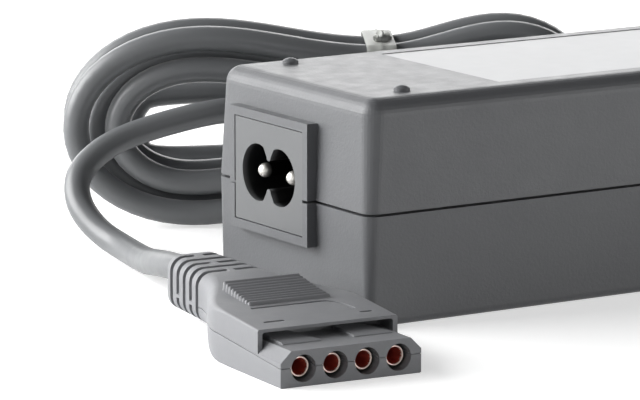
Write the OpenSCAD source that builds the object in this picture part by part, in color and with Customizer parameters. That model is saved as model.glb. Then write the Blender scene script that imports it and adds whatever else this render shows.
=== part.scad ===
// Laptop power adapter: a two-part moulded case with a figure-eight mains inlet at one end,
// a low-voltage cord at the other, tied in a hank that stands on edge, and a flat
// four-contact plug. Millimetres, Z up, origin under the middle of the case.

/* [Case] */
// Length of the case
case_l = 118; // [114:1:140]
// Width of the case at its parting line
case_w = 46; // [45:1:60]
// Height of the case
case_h = 36.5; // [36:0.5:46]
// Height of the parting line above the table
part_z = 18; // [17:0.5:19.5]
// Thickness of the case walls
wall = 2.2; // [1.8:0.1:2.6]
// How far each side leans in between the parting line and the top or the bottom
lean = 0.5; // [0.2:0.1:1]
// Radius of the four upright corners
corner_r = 2.2; // [1.5:0.1:3]
// Radius of the edges round the top
top_edge_r = 2.8; // [1.5:0.1:3.5]
// Radius of the edges round the bottom
bottom_edge_r = 1.3; // [0.8:0.1:2.5]
// Width of the groove that shows along the parting line
reveal = 0.45; // [0.2:0.05:0.8]
// Height of the tongue that closes the joint behind the groove
tongue_h = 1.6; // [1.2:0.1:2.4]
// Thickness of that tongue
tongue_t = 0.9; // [0.7:0.1:1.1]
// Clearance between parts that slip together
slip = 0.15; // [0.1:0.05:0.25]

/* [Feet and label] */
// Diameter of each small foot
foot_d = 2.6; // [2:0.1:4]
// Height of each small foot
foot_h = 1; // [0.6:0.1:1.6]
// Distance of the feet from the ends of the case
foot_end = 10.5; // [8:0.5:14]
// Distance of the feet from the sides of the case
foot_side = 6.4; // [5.5:0.1:9]
// Length of the label
label_l = 78; // [60:1:84]
// Width of the label
label_w = 34.4; // [28:0.2:34.6]
// Distance from the inlet end to the label
label_end = 28.8; // [24:0.2:30]
// Thickness of the label
label_t = 0.2; // [0.1:0.05:0.3]
// Depth of the recess that the label lies in
label_recess = 0.3; // [0.3:0.05:0.5]

/* [Mains inlet] */
// Distance of the inlet from the middle of the end, towards the back
inlet_y = 4.2; // [0:0.2:5]
// Height of the inlet's middle
inlet_z = 20.9; // [20:0.1:22]
// Width of the inlet's face
inlet_w = 20.4; // [19.8:0.1:21.4]
// Height of the inlet's face
inlet_h = 16.8; // [15.6:0.1:17.2]
// Width of the frame round the inlet
frame_t = 1.6; // [1.2:0.1:2]
// How far the frame stands out from the end of the case
frame_out = 1.6; // [1:0.1:2.4]
// Depth of the socket
socket_depth = 12.2; // [11:0.1:13]
// Radius of each of the socket's two lobes
lobe_r = 4.7; // [4.4:0.05:4.9]
// Distance between the middles of the lobes
lobe_gap = 6.6; // [6:0.1:7]
// Height left between the two ribs in the socket's waist
rib_gap = 4.6; // [4.4:0.1:5.2]
// Diameter of the two pins
pin_d = 2.36; // [2.2:0.02:2.5]
// Distance between the pins
pin_gap = 8.6; // [8.2:0.1:8.8]
// How far the pins' tips lie behind the inlet's face
pin_recess = 0.9; // [0.5:0.1:2]

/* [Circuit board] */
// Thickness of the circuit board
board_t = 1.6; // [1:0.1:2]
// Height of the board's underside above the table
board_z = 7; // [6:0.1:7.4]
// Distance from the board to each end of the case
board_end = 9; // [8:0.5:10]
// Distance from the board to each side of the case
board_side = 4; // [3.6:0.1:4.2]
// Distance of the board's screws from its edges
screw_inset = 4; // [3.4:0.1:4.5]
// Radius of the posts that carry the board
post_r = 2.8; // [2.4:0.1:3.2]
// Diameter of the board's screws
screw_d = 1.9; // [1.6:0.1:2.2]
// Thickness of the insulating sheet on the floor of the case
sheet_t = 0.4; // [0.2:0.1:0.8]
// Diameter of the wires inside the case
wire_d = 1.8; // [1.2:0.1:2.2]

/* [Low-voltage cord] */
// Diameter of the cord
cord_d = 4.5; // [4:0.1:4.5]
// Diameter of the gland's collar against the case
gland_d = 12; // [10:0.5:14]
// Length of the gland's tapered boot
gland_l = 20; // [16:0.5:24]
// Length of each run between the hank's folds
hank_run = 55.7; // [50:0.1:70]
// Radius of the outermost fold in the hank
hank_outer_r = 17; // [17:0.1:18.5]
// Length of a left fold for each unit of its height
fold_stretch = 1.35; // [1:0.05:1.5]
// Clear space between neighbouring turns in one layer
turn_space = 1; // [0.8:0.05:1]
// Clear space between neighbouring layers
layer_space = 0.45; // [0.4:0.05:0.7]
// How far the tie draws the runs together
waist_dip = 4.8; // [2:0.2:4.8]
// Width of the twist tie
tie_w = 5.2; // [3:0.2:6]
// Thickness of the twist tie
tie_t = 0.5; // [0.4:0.1:1]

/* [Plug] */
// Width of the plug
plug_w = 24; // [23.6:0.1:26]
// Height of the plug's front face
nose_h = 5.6; // [5.4:0.1:6.2]
// Size of the slanted edges beside the front face
nose_cut = 1.8; // [1.2:0.1:2]
// Distance from the front face to the hood's lip
lip_y = 7.4; // [6.5:0.1:8]
// Height of the hood at its lip
lip_h = 7.6; // [7.4:0.1:8.4]
// Thickness of the lip
lip_t = 0.5; // [0.4:0.1:0.7]
// Distance from the front face to where the body narrows
body_y = 21; // [19:0.5:22]
// Distance from the front face to the strain relief
neck_y = 39; // [36:0.5:42]
// Width of the neck
neck_w = 12.2; // [10:0.2:14]
// Length of the strain relief
relief_l = 14; // [11:0.5:18]
// Distance between the contacts
contact_gap = 5.4; // [5.2:0.05:5.5]
// Height of the contacts' middles
contact_z = 2.8; // [2.7:0.05:3]
// Diameter of the holes round the contacts
hole_d = 4.2; // [3.9:0.05:4.3]
// Outer diameter of the contact sleeves
sleeve_d = 3.2; // [2.9:0.05:3.4]
// Bore of the contact sleeves
sleeve_bore = 2.6; // [2.2:0.05:2.7]
// How far the sleeves lie behind the front face
sleeve_recess = 1.4; // [0.8:0.1:2]
// Length of the contact sleeves
sleeve_l = 11; // [9:0.5:12]
// Depth of the sleeves' bores
bore_depth = 9; // [6:0.5:9.5]

/* [Hidden] */
$fn = 32;
eps = 0.01;
over = 1;

// Colours
shell_c = "dimgray";
dark_c = "#3a3b3d";
cord_c = "#77787a";
metal_c = "silver";
copper_c = "#a8643a";

// ---- Case: worked-out sizes ----
side_wall = wall + lean;
inner_l = case_l - 2 * side_wall;
inner_w = case_w - 2 * side_wall;
inner_r = max(corner_r - wall, 0.6);
end_x = case_l / 2;
shell_base_z = part_z + reveal;

// A rounded rectangle centred on the origin
module round_rect(l, w, r) {
    square([l - 2 * r, w], center = true);
    square([l, w - 2 * r], center = true);
    for (x = [-1, 1], y = [-1, 1])
        translate([x * (l / 2 - r), y * (w / 2 - r)])
            circle(r);
}

// A ball's upper half
module dome(r) {
    rotate_extrude()
        intersection() {
            circle(r);
            square(r);
        }
}

// One half of the case's outside, h high, standing on the parting line
module case_half(h, edge_r) {
    hull()
        for (x = [-1, 1], y = [-1, 1]) {
            translate([x * (case_l / 2 - corner_r), y * (case_w / 2 - corner_r), 0])
                cylinder(eps, r = corner_r);
            translate([x * (case_l / 2 - lean - edge_r), y * (case_w / 2 - lean - edge_r), h - edge_r])
                dome(edge_r);
        }
}

module inlet_block(grow, x0, x1) {
    translate([x0, inlet_y - inlet_w / 2 - grow, inlet_z - inlet_h / 2 - grow])
        cube([x1 - x0, inlet_w + 2 * grow, inlet_h + 2 * grow]);
}

// The frame round the inlet, cut at the parting line
module inlet_frame(z0, z1) {
    intersection() {
        inlet_block(frame_t, -end_x - frame_out, -end_x + side_wall / 2);
        translate([-case_l, -case_w, z0])
            cube([case_l, 2 * case_w, z1 - z0]);
    }
}

// Holes in the ends of the case for the inlet and the cord gland
module end_holes() {
    inlet_block(slip, -end_x - frame_out - over, -end_x + side_wall + over);
    translate([end_x - side_wall - over, 0, part_z])
        rotate([0, 90, 0])
            cylinder(side_wall + 2 * over, r = gland_neck_r + slip);
}

module top_shell() {
    color(shell_c)
        difference() {
            union() {
                translate([0, 0, shell_base_z])
                    case_half(case_h - shell_base_z, top_edge_r);
                inlet_frame(shell_base_z, case_h);
            }
            translate([0, 0, part_z - over])
                linear_extrude(case_h - wall - part_z + over)
                    round_rect(inner_l, inner_w, inner_r);
            translate([0, 0, part_z - over])
                linear_extrude(over + reveal + tongue_h)
                    round_rect(inner_l + 2 * (tongue_t + slip), inner_w + 2 * (tongue_t + slip),
                        inner_r + tongue_t + slip);
            end_holes();
            translate([label_x, -label_w / 2 - slip, case_h - label_recess])
                cube([label_l + 2 * slip, label_w + 2 * slip, label_recess + over]);
        }
}

// Posts under the circuit board
board_l = case_l - 2 * board_end;
board_w = case_w - 2 * board_side;
post_x = board_l / 2 - screw_inset;
post_y = board_w / 2 - screw_inset;
pilot_r = screw_d / 2 + 0.05;

module at_posts() {
    for (x = [-1, 1], y = [-1, 1])
        translate([x * post_x, y * post_y, 0])
            children();
}

module bottom_shell() {
    color(shell_c)
        difference() {
            union() {
                difference() {
                    union() {
                        translate([0, 0, part_z])
                            mirror([0, 0, 1])
                                case_half(part_z, bottom_edge_r);
                        inlet_frame(0, part_z);
                        translate([0, 0, part_z - over])
                            linear_extrude(over + reveal + tongue_h)
                                round_rect(inner_l + 2 * tongue_t, inner_w + 2 * tongue_t,
                                    inner_r + tongue_t);
                    }
                    translate([0, 0, wall])
                        linear_extrude(case_h)
                            round_rect(inner_l, inner_w, inner_r);
                }
                at_posts()
                    translate([0, 0, wall - eps])
                        cylinder(board_z - wall + eps, r = post_r);
            }
            at_posts()
                translate([0, 0, wall])
                    cylinder(board_z, r = pilot_r);
            end_holes();
        }
}

// ---- Feet and label ----
label_x = -end_x + label_end - slip;
foot_crown_r = foot_d * 0.75;

module corner_feet() {
    color(dark_c)
        for (x = [-1, 1], y = [-1, 1])
            translate([x * (case_l / 2 - foot_end), y * (case_w / 2 - foot_side), case_h])
                rotate_extrude($fn = 24)
                    intersection() {
                        square([foot_d / 2, foot_h]);
                        translate([0, foot_h - foot_crown_r])
                            circle(foot_crown_r);
                    }
}

module rating_label() {
    color("#9a9b9c")
        translate([label_x + slip, -label_w / 2, case_h - label_recess])
            cube([label_l, label_w, label_t]);
}

// ---- Mains inlet ----
inlet_face_x = -end_x - frame_out + 0.1;
inlet_back_x = inlet_face_x + socket_depth + 1.8;
flange_x = -end_x + side_wall;
flange_t = 1.5;
flange_grow = 1.4;
back_w = inlet_w - 1.4;
back_h = inlet_h - 2.6;
pin_r = pin_d / 2;
pin_tail = 4;
pin_tail_r = pin_r - 0.25;
pin_seat_gap = 0.2;
pin_x0 = inlet_face_x + pin_recess + pin_r;
pin_x1 = inlet_face_x + socket_depth - pin_seat_gap;
rib_tip_r = 0.6;

// The figure-eight opening, with a rib from above and one from below at its waist
module socket_shape() {
    difference() {
        for (s = [-1, 1])
            translate([s * lobe_gap / 2, 0])
                circle(lobe_r);
        for (s = [-1, 1]) {
            translate([0, s * (rib_gap / 2 + rib_tip_r)])
                circle(rib_tip_r);
            polygon([[-rib_tip_r, s * (rib_gap / 2 + rib_tip_r)], [rib_tip_r, s * (rib_gap / 2 + rib_tip_r)],
                [rib_tip_r * 3, s * lobe_r], [-rib_tip_r * 3, s * lobe_r]]);
        }
    }
}

module at_pins() {
    for (s = [-1, 1])
        translate([0, inlet_y + s * pin_gap / 2, inlet_z])
            rotate([0, 90, 0])
                children();
}

module inlet_body() {
    color(shell_c)
        difference() {
            union() {
                inlet_block(0, inlet_face_x, flange_x + flange_t);
                inlet_block(flange_grow, flange_x, flange_x + flange_t);
                translate([flange_x, inlet_y - back_w / 2, inlet_z - back_h / 2])
                    cube([inlet_back_x - flange_x, back_w, back_h]);
            }
            translate([inlet_face_x - over, inlet_y, inlet_z])
                rotate([90, 0, 90])
                    linear_extrude(socket_depth + over)
                        socket_shape();
            translate([inlet_back_x - over * 3, 0, 0])
                at_pins()
                    cylinder(over * 4, r = pin_tail_r + 0.05);
        }
}

module inlet_pins() {
    color(metal_c)
        at_pins() {
            translate([0, 0, pin_x0])
                cylinder(pin_x1 - pin_x0, r = pin_r);
            translate([0, 0, pin_x0])
                sphere(pin_r, $fn = 20);
            translate([0, 0, pin_x1 - eps])
                cylinder(inlet_back_x + pin_tail - pin_x1 + eps, r = pin_tail_r);
        }
}

// ---- Cord gland ----
gland_neck_r = gland_d / 2 - 1.4;
gland_flange_t = 1.6;
gland_tip_r = cord_d / 2 + 1.1;
gland_collar = 2;

module cord_gland() {
    color(dark_c)
        translate([end_x, 0, part_z])
            rotate([0, 90, 0])
                rotate_extrude()
                    polygon([[0, -side_wall - gland_flange_t], [gland_d / 2, -side_wall - gland_flange_t],
                        [gland_d / 2, -side_wall - 0.05], [gland_neck_r, -side_wall - 0.05],
                        [gland_neck_r, 0.05], [gland_d / 2, 0.05], [gland_d / 2, gland_collar],
                        [gland_neck_r, gland_collar], [gland_tip_r, gland_l], [0, gland_l]]);
}

// A wire that leaves along X, turns down through a quarter bend and ends on the board
elbow_r = 4;
wire_lead = 2;
board_top = board_z + board_t;

module wire_drop(z, $fn = 16) {
    rotate([0, 90, 0])
        cylinder(wire_lead, d = wire_d);
    translate([wire_lead, 0, -elbow_r])
        rotate([90, 0, 0])
            rotate_extrude(angle = 90)
                translate([elbow_r, 0])
                    circle(d = wire_d);
    translate([wire_lead + elbow_r, 0, board_top - z])
        cylinder(z - elbow_r - board_top, d = wire_d);
}

module inlet_wires() {
    color("#5b4636")
        for (s = [-1, 1])
            translate([inlet_back_x + pin_tail, inlet_y + s * pin_gap / 2, inlet_z])
                wire_drop(inlet_z);
}

module output_wires() {
    color("#8a2f2a")
        for (s = [-1, 1])
            translate([end_x - side_wall - gland_flange_t, s * wire_d * 0.8, part_z])
                mirror([1, 0, 0])
                    wire_drop(part_z);
}

// ---- Circuit board and what stands on it ----
module circuit_board() {
    color("#4d6b45")
        difference() {
            translate([-board_l / 2, -board_w / 2, board_z])
                cube([board_l, board_w, board_t]);
            at_posts()
                translate([0, 0, board_z - over])
                    cylinder(board_t + 2 * over, r = screw_d / 2 + 0.4);
        }
}

screw_head_h = 1.4;
screw_grip = 3.5;

module board_screws() {
    color(metal_c)
        at_posts() {
            translate([0, 0, board_z - screw_grip])
                cylinder(screw_grip + board_t + eps, d = screw_d);
            translate([0, 0, board_top])
                cylinder(screw_head_h, d = screw_d * 2.2);
        }
}

module insulation_sheet() {
    color("#8f8a6a")
        difference() {
            translate([-board_l / 2, -board_w / 2, wall])
                cube([board_l, board_w, sheet_t]);
            at_posts()
                translate([0, 0, wall - over])
                    cylinder(sheet_t + 2 * over, r = post_r + 0.4);
        }
}

// What stands on the board keeps its share of the room between the wires at both ends, the
// board's sides and the roof. Its places are measured from the middle of that room, and its
// sizes are those in a room of the usual size.
usual_l = 83.4;
usual_w = 38;
usual_h = 25.7;
drop_reach = wire_lead + elbow_r + wire_d / 2;
room_x0 = inlet_back_x + pin_tail + drop_reach;
room_x1 = end_x - side_wall - gland_flange_t - drop_reach;
room_mid_x = (room_x0 + room_x1) / 2;
share_l = (room_x1 - room_x0) / usual_l;
share_w = board_w / usual_w;
share_h = (case_h - wall - board_top) / usual_h;
share_r = min(share_l, share_w);

function place(p) = [room_mid_x + share_l * p[0], share_w * p[1], board_top];

// A box with its lower left corner at p on the board
module on_board_box(p, size) {
    translate(place(p))
        cube([size[0] * share_l, size[1] * share_w, size[2] * share_h]);
}

module on_board_can(p, h, r) {
    translate(place(p))
        cylinder(h * share_h, r = r * share_r);
}

fuse_at = [-39.1, -12.5];
fuse_l = 20;
fuse_r = 2.6;
fuse_cap_l = 5;
fuse_cap_r = 3;

module mains_fuse() {
    color("#c9c7bd")
        translate(place(fuse_at) + [0, 0, fuse_cap_r])
            rotate([0, 90, 0]) {
                cylinder(fuse_l * share_l, r = fuse_r);
                for (z = [0, fuse_l * share_l - fuse_cap_l])
                    translate([0, 0, z])
                        cylinder(fuse_cap_l, r = fuse_cap_r);
            }
}

filter_cap_at = [-40.1, 8.8];
filter_cap_size = [18, 9, 14];

module filter_capacitor() {
    color("#b9a13c")
        on_board_box(filter_cap_at, filter_cap_size);
}

choke_at = [-31.1, 0.6];
choke_r = 5 * share_r;
choke_bar_w = 3;
choke_bar_h = 5.2;
choke_wire = 0.9;
choke_gap = 0.1;
choke_wound = 130;

module choke_core() {
    color("#55604f")
        translate(place(choke_at) + [0, 0, choke_wire])
            rotate_extrude()
                translate([choke_r - choke_bar_w / 2 - choke_gap, choke_gap])
                    square([choke_bar_w - choke_gap, choke_bar_h - 2 * choke_gap]);
}

module choke_winding() {
    color(copper_c)
        for (a = [25, 205])
            translate(place(choke_at))
                rotate([0, 0, a])
                    rotate_extrude(angle = choke_wound)
                        difference() {
                            translate([choke_r - choke_bar_w / 2 - choke_gap - choke_wire, 0])
                                square([choke_bar_w + choke_gap + 2 * choke_wire, choke_bar_h + 2 * choke_wire]);
                            translate([choke_r - choke_bar_w / 2 - 2 * choke_gap, choke_wire])
                                square([choke_bar_w + choke_gap, choke_bar_h]);
                        }
}

bridge_at = [-19.6, -2];
bridge_size = [4.5, 20, 15];

module bridge_rectifier() {
    color(dark_c)
        on_board_box(bridge_at, bridge_size);
}

bulk_at = [-4.6, 8.5];
bulk_r = 9;
bulk_h = 24.5;

module bulk_capacitor() {
    color("#3f4d66")
        on_board_can(bulk_at, bulk_h, bulk_r);
}

sink_t = 2;
sink_h = 21;
sink_y = 16;
primary_sink_x = -16.1;
primary_sink_l = 27;
secondary_sink_x = 13.9;
secondary_sink_l = 23;

module primary_heat_sink() {
    color(metal_c)
        on_board_box([primary_sink_x, -sink_y - sink_t], [primary_sink_l, sink_t, sink_h]);
}

module secondary_heat_sink() {
    color(metal_c)
        on_board_box([secondary_sink_x, sink_y], [secondary_sink_l, sink_t, sink_h]);
}

device_size = [10, 4.5, 15];
device_lift = 4;
device_leg = [0.8, 0.6];
device_leg_gap = 2.54;

// A flat power device on three legs, against the heat sink's face at y
module power_device(x, y, dir) {
    for (leg = [-device_leg_gap, 0, device_leg_gap])
        on_board_box([x + leg - device_leg[0] / 2, y + dir * device_size[1] / 2 - device_leg[1] / 2],
            [device_leg[0], device_leg[1], device_lift + eps]);
    translate([0, 0, device_lift * share_h])
        on_board_box([x - device_size[0] / 2, y + (dir - 1) * device_size[1] / 2], device_size);
}

switch_x = -2.1;
rectifier_x = 33.9;

module switching_transistor() {
    color(dark_c)
        power_device(switch_x, -sink_y, 1);
}

module output_rectifier() {
    color(dark_c)
        power_device(rectifier_x, sink_y, -1);
}

core_at = [20.9, 1.7];
core_size = [26 * share_l, 9 * share_w, 22 * share_h];
core_leg = 7 * share_l;
core_window = 6 * share_l;
core_yoke = 3.8 * share_h;
coil_wall = 5 * share_w;
coil_gap = 0.2;
coil_out = core_leg / 2 + core_window - 0.3;

module transformer_core() {
    color("#3c3f42")
        translate(place(core_at))
            difference() {
                translate([-core_size[0] / 2, -core_size[1] / 2, 0])
                    cube(core_size);
                for (s = [-1, 1])
                    translate([s * (core_leg + core_window) / 2 - core_window / 2, -core_size[1], core_yoke])
                        cube([core_window, 2 * core_size[1], core_size[2] - 2 * core_yoke]);
            }
}

module transformer_winding() {
    color("#c2a24a")
        translate(place(core_at))
            difference() {
                translate([-coil_out, -core_size[1] / 2 - coil_wall, core_yoke + coil_gap])
                    cube([2 * coil_out, core_size[1] + 2 * coil_wall, core_size[2] - 2 * (core_yoke + coil_gap)]);
                translate([-core_leg / 2 - coil_gap, -core_size[1] / 2 - coil_gap, 0])
                    cube([core_leg + 2 * coil_gap, core_size[1] + 2 * coil_gap, core_size[2]]);
            }
}

output_cap_at = [18.4, -13];
output_cap_gap = 11;
output_cap_r = 5;
output_cap_h = 20;

module output_capacitors() {
    color("#2f3f52")
        for (i = [0, 1])
            on_board_can(output_cap_at + [i * output_cap_gap, 0], output_cap_h, output_cap_r);
}

output_choke_at = [37.5, -7.2];
output_choke_r = 3.2;
output_choke_h = 13;

module output_choke() {
    color(copper_c)
        on_board_can(output_choke_at, output_choke_h, output_choke_r);
}

coupler_at = [5.9, 9.5];
coupler_size = [6, 7, 3.5];

module feedback_coupler() {
    color(dark_c)
        on_board_box(coupler_at, coupler_size);
}

// ---- Cord: tubes along a smooth line ----
cord_r = cord_d / 2;
lead_sides = 10;
hank_sides = 6;

function unit(v) = v / norm(v);

// A point on the smooth curve from b to c, with its neighbours a and d
function curve_at(a, b, c, d, s) = 0.5 * (2 * b + (c - a) * s + (2 * a - 5 * b + 4 * c - d) * s * s
    + (3 * b - a - 3 * c + d) * s * s * s);

// A smooth line through route points, n steps to each, that is straight at both ends
function smooth(p, n) = concat([p[0]],
    [for (i = [1 : len(p) - 3], k = [0 : n - 1]) curve_at(p[i - 1], p[i], p[i + 1], p[i + 2], k / n)],
    [p[len(p) - 2], p[len(p) - 1]]);

function length_of(p, i = 0) = i + 1 >= len(p) ? 0 : norm(p[i + 1] - p[i]) + length_of(p, i + 1);

function heading(p, i) = unit(p[min(i + 1, len(p) - 1)] - p[max(i - 1, 0)]);

// The side direction carried along the line without twist
function carried(p, side, i = 0) = i >= len(p) ? [] :
    let (h = heading(p, i), s = unit(side - (side * h) * h))
    concat([s], carried(p, s, i + 1));

function ring(c, h, s, r, n) = let (t = cross(h, s))
    [for (k = [0 : n - 1]) c + r * (cos(360 * (k + 0.5) / n) * s + sin(360 * (k + 0.5) / n) * t)];

// A closed tube of n sides along the points p
module tube(p, r, n, side) {
    sides = carried(p, side);
    pts = [for (i = [0 : len(p) - 1]) each ring(p[i], heading(p, i), sides[i], r, n)];
    last = (len(p) - 1) * n;
    skin = [for (i = [0 : len(p) - 2], k = [0 : n - 1])
        let (a = i * n + k, b = i * n + (k + 1) % n)
        each [[a, b + n, b], [a, a + n, b + n]]];
    first_end = [for (k = [1 : n - 2]) [0, k, k + 1]];
    last_end = [for (k = [1 : n - 2]) [last, last + k + 1, last + k]];
    polyhedron(pts, concat(skin, first_end, last_end), convexity = 10);
}

// ---- Hank: stands on edge behind the case, along a line turned by hank_turn ----
hank_turn = -30;
hank_x = -13.2;
hank_y = 52.3;
hank_layers = 4;
waist_u = 4.85;
turn_step = cord_d + turn_space;
layer_step = cord_d + layer_space;
half_run = hank_run / 2;

// Places along a loop are counted in 24ths: 0 is the rightmost point of the right fold,
// 3 to 9 the upper run, 9 to 15 the left fold, 15 to 21 the lower run.
loop_n = 24;
hank_start = 45;
hank_ends = [54, 90, 126];
hank_stop = 123 + 2 * loop_n + 6 * (half_run - waist_u) / hank_run;

// The fold radius is widest at the first and the last turning place
function spiral(q) = hank_outer_r - turn_step / loop_n * abs(q - (q < hank_ends[1] ? hank_ends[0] : hank_ends[2]));

function ease(s) = let (c = min(max(s, 0), 1)) c * c * (3 - 2 * c);

// Each climb to the next layer takes one run, with the turning place in its middle
function layer_at(q) = ease((q - hank_ends[0] + 3) / 6) + ease((q - hank_ends[1] + 3) / 6)
    + ease((q - hank_ends[2] + 3) / 6);

function dip_at(u) = let (s = u > waist_u ? (u - waist_u) / (half_run - waist_u) : (waist_u - u) / (half_run + waist_u))
    s >= 1 ? 0 : waist_dip * (1 + cos(180 * s)) / 2;

// Place along the run and height above the hank's middle for a place q in the loop
function loop_point(q) = let (m = q - loop_n * floor(q / loop_n), r = spiral(q))
    m < 3 ? [half_run + r * cos(30 * m), r * sin(30 * m)] :
    m < 9 ? let (u = half_run - hank_run * (m - 3) / 6) [u, r - dip_at(u)] :
    m < 15 ? [-half_run + fold_stretch * r * cos(90 + 30 * (m - 9)), r * sin(90 + 30 * (m - 9))] :
    m < 21 ? let (u = -half_run + hank_run * (m - 15) / 6) [u, dip_at(u) - r] :
    [half_run + r * cos(270 + 30 * (m - 21)), r * sin(270 + 30 * (m - 21))];

fold_r = spiral(hank_start);
hank_mid_z = fold_r + cord_r + 0.05;

// From hank coordinates (along the run, behind the front layer, up) to the part's
function hank_to_part(u, w, z) = [hank_x + u * cos(hank_turn) - w * sin(hank_turn),
    hank_y + u * sin(hank_turn) + w * cos(hank_turn), z];

function hank_point(q) = let (p = loop_point(q))
    hank_to_part(p[0], (hank_layers - 1 - layer_at(q)) * layer_step, hank_mid_z + p[1]);

rear_w = (hank_layers - 1) * layer_step;
along = [cos(hank_turn), sin(hank_turn), 0];
hank_first = hank_point(hank_start);
hank_last = hank_point(hank_stop);
hank_in = hank_first - cord_d * along;
hank_out = hank_last - cord_d * along;

function hank_line(step) = concat([hank_in], [for (q = [hank_start : step : hank_stop - step / 2]) hank_point(q)],
    [hank_last, hank_out]);

module cord_hank() {
    color(cord_c)
        tube(hank_line(1), cord_r, hank_sides, [0, 0, 1]);
}

// Least clear distance between turns that don't follow each other, measured on points
fine_step = 0.5;
fine = [for (q = [hank_start : fine_step : hank_stop]) hank_point(q)];
apart = 12 / fine_step;
echo(hank_gap = min([for (i = [0 : len(fine) - 1 - apart], j = [i + apart : len(fine) - 1])
        norm(fine[i] - fine[j])]) - cord_d);

// ---- Lead from the gland to the hank: along the table, then a loose loop behind the hank ----
lead_points = [[92, 1, 13], [99, 4, 7], [106, 10, 3], [110, 19, 2.5], [108, 28, 2.5], [100, 35.5, 2.5],
    [84, 41.5, 2.5], [64, 49, 2.5], [45, 57, 3.5], [29, 59, 7.5], [14.5, 62, 15], [0.5, 68.5, 20],
    [-13.5, 76, 21], [-31.5, 87, 20.5], [-35.5, 89, 18.5], [-37, 89.5, 14.5], [-35.5, 89, 10.5],
    [-31.5, 87, 8.5], [-14, 76.5, 9], [-5.5, 72, 6], [1.5, 67.5, 3], [4.5, 63.5, 2.5], [7.5, 59, 2.5]];
table_z = cord_r + 0.05;
gland_end = [end_x + gland_l, 0, part_z];
lead_line = smooth(concat([gland_end, gland_end + [cord_d, 0, 0]],
    [for (p = lead_points) [p[0], p[1], max(p[2], table_z)]],
    [hank_in - cord_d * along, hank_in]), 2);

module cord_lead() {
    color(cord_c)
        tube(lead_line, cord_r, lead_sides, [0, 0, 1]);
}

// ---- Tail from the hank to the plug ----
tail_points = [[-21.5, 54.8, 20], [-28.5, 55.8, 21.5], [-37, 57, 22], [-45.5, 59.5, 20.5], [-53, 61.5, 18.5], [-58, 62, 16.5],
    [-62, 61.5, 14], [-64.5, 60, 11.5], [-65.5, 57.5, 8.5], [-65.5, 54, 6], [-65, 49.5, 4],
    [-65, 43.5, 3], [-67, 34.5, 3], [-70, 26, 4], [-73, 18, 5.5], [-75, 11, 6.5]];

// ---- Plug: its own frame lies at the middle of its front lower edge, Y to the back ----
plug_x = -80.5;
plug_y = -51.6;
plug_turn = -4.3;
relief_end_z = 7;

function plug_to_part(p) = [plug_x + p[0] * cos(plug_turn) - p[1] * sin(plug_turn),
    plug_y + p[0] * sin(plug_turn) + p[1] * cos(plug_turn), p[2]];

relief_end = plug_to_part([0, neck_y + relief_l, relief_end_z]);
plug_back = plug_to_part([0, 1, 0]) - plug_to_part([0, 0, 0]);
tail_line = smooth(concat([hank_out, hank_out - cord_d * along], tail_points,
    [relief_end + cord_d * plug_back, relief_end]), 2);

module cord_tail() {
    color(cord_c)
        tube(tail_line, cord_r, lead_sides, [0, 0, 1]);
}

echo(lead = length_of(lead_line), hank = length_of(fine) + 2 * cord_d, tail = length_of(tail_line));

// ---- Twist tie round the hank's waist ----
tie_space = 0.3;
waist_top = hank_mid_z + hank_outer_r - waist_dip + cord_r;
lowest_turn = 0.4;
waist_low = hank_mid_z - hank_outer_r + lowest_turn * turn_step + waist_dip - cord_r;
tie_end_l = 3.6;
tie_twist = 270;

module at_hank() {
    translate([hank_x, hank_y, 0])
        rotate([0, 0, hank_turn])
            children();
}

module tie_ring(grow) {
    translate([rear_w / 2, (waist_top + waist_low) / 2])
        round_rect(rear_w + cord_d + 2 * grow, waist_top - waist_low + 2 * grow, cord_r / 2 + grow);
}

module cord_tie() {
    color("#c8c8c6")
        at_hank()
            translate([waist_u, 0, 0]) {
                translate([-tie_w / 2, 0, 0])
                    rotate([90, 0, 90])
                        linear_extrude(tie_w)
                            difference() {
                                tie_ring(tie_space + tie_t);
                                tie_ring(tie_space);
                            }
                translate([0, -cord_r + tie_space, waist_top + tie_space + tie_t / 2])
                    rotate([18, 0, 0])
                        linear_extrude(tie_end_l, twist = tie_twist, slices = 12)
                            square([tie_w * 0.7, 2 * tie_t], center = true);
            }
}

// ---- Plug pieces ----
module at_plug() {
    translate([plug_x, plug_y, 0])
        rotate([0, 0, plug_turn])
            children();
}

neck_top = 10;
neck_low = 1.9;
seam_nose = 3;
seam_body = 4.6;
body_h = lip_h + (body_y - lip_y) * 0.075;
flare_n = 8;

function flare(y) = ease((y - body_y) / (neck_y - body_y));
function half_width(y) = plug_w / 2 + (neck_w / 2 - plug_w / 2) * flare(y);
function body_top(y) = y < body_y ? lip_h + (y - lip_y) * (body_h - lip_h) / (body_y - lip_y)
    : body_h + (neck_top - body_h) * flare(y);
function body_low(y) = neck_low * flare(y);
function seam_z(y) = y < body_y ? seam_nose + (seam_body - seam_nose) * y / body_y : seam_body;
flare_y = [for (i = [0 : flare_n]) body_y + (neck_y - body_y) * i / flare_n];

// The body seen from above
module body_plan() {
    polygon(concat([[-plug_w / 2, 0], [plug_w / 2, 0]], [for (y = flare_y) [half_width(y), y]],
        [for (i = [flare_n : -1 : 0]) [-half_width(flare_y[i]), flare_y[i]]]));
}

// A solid with the side outline p, as (back, up) points
module side_cut(p) {
    translate([-plug_w, 0, 0])
        rotate([90, 0, 90])
            linear_extrude(2 * plug_w)
                polygon(p);
}

// The nose seen from the front, up to the height h
module nose_front() {
    polygon([[-plug_w / 2, 0], [plug_w / 2, 0], [plug_w / 2, nose_h - nose_cut],
        [plug_w / 2 - nose_cut, nose_h], [-plug_w / 2 + nose_cut, nose_h],
        [-plug_w / 2, nose_h - nose_cut]]);
}

module at_contacts() {
    for (i = [-1.5 : 1 : 1.5])
        translate([i * contact_gap, 0, contact_z])
            rotate([-90, 0, 0])
                children();
}

seat_l = 3;
seat_y = sleeve_recess + sleeve_l - seat_l;

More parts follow.
